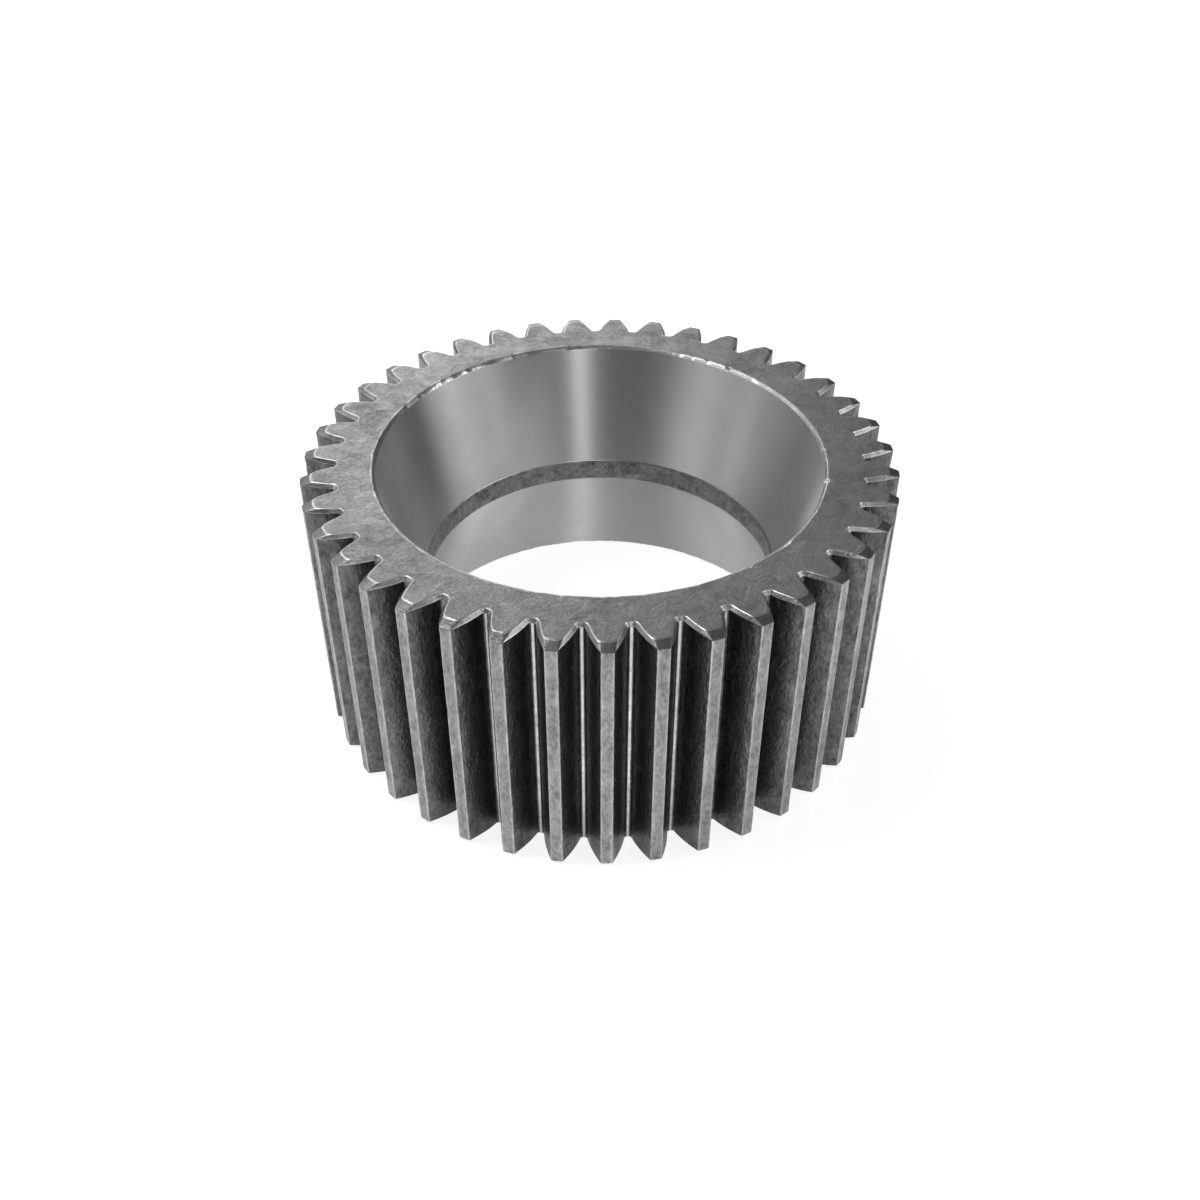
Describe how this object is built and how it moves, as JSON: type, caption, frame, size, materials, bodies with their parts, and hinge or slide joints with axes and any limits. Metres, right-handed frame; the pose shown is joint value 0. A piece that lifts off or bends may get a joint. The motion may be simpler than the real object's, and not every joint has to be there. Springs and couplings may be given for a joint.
{
  "type": "planet gear",
  "caption": "Wide straight-toothed steel planet gear: a ring with external involute teeth and a bore of two cone-shaped raceways that meet at a central land.",
  "frame": {"origin": "centre of the land in the bore, midway between the two faces", "axes": "+Z along the bore axis, and a tooth centred on -Y"},
  "size_m": [0.164, 0.1638, 0.076],
  "materials": {
    "gear_steel": "hardened and blasted steel, with ground raceways"
  },
  "bodies": {
    "root": {"planet_gear": "gear_steel"}
  },
  "joints": []
}
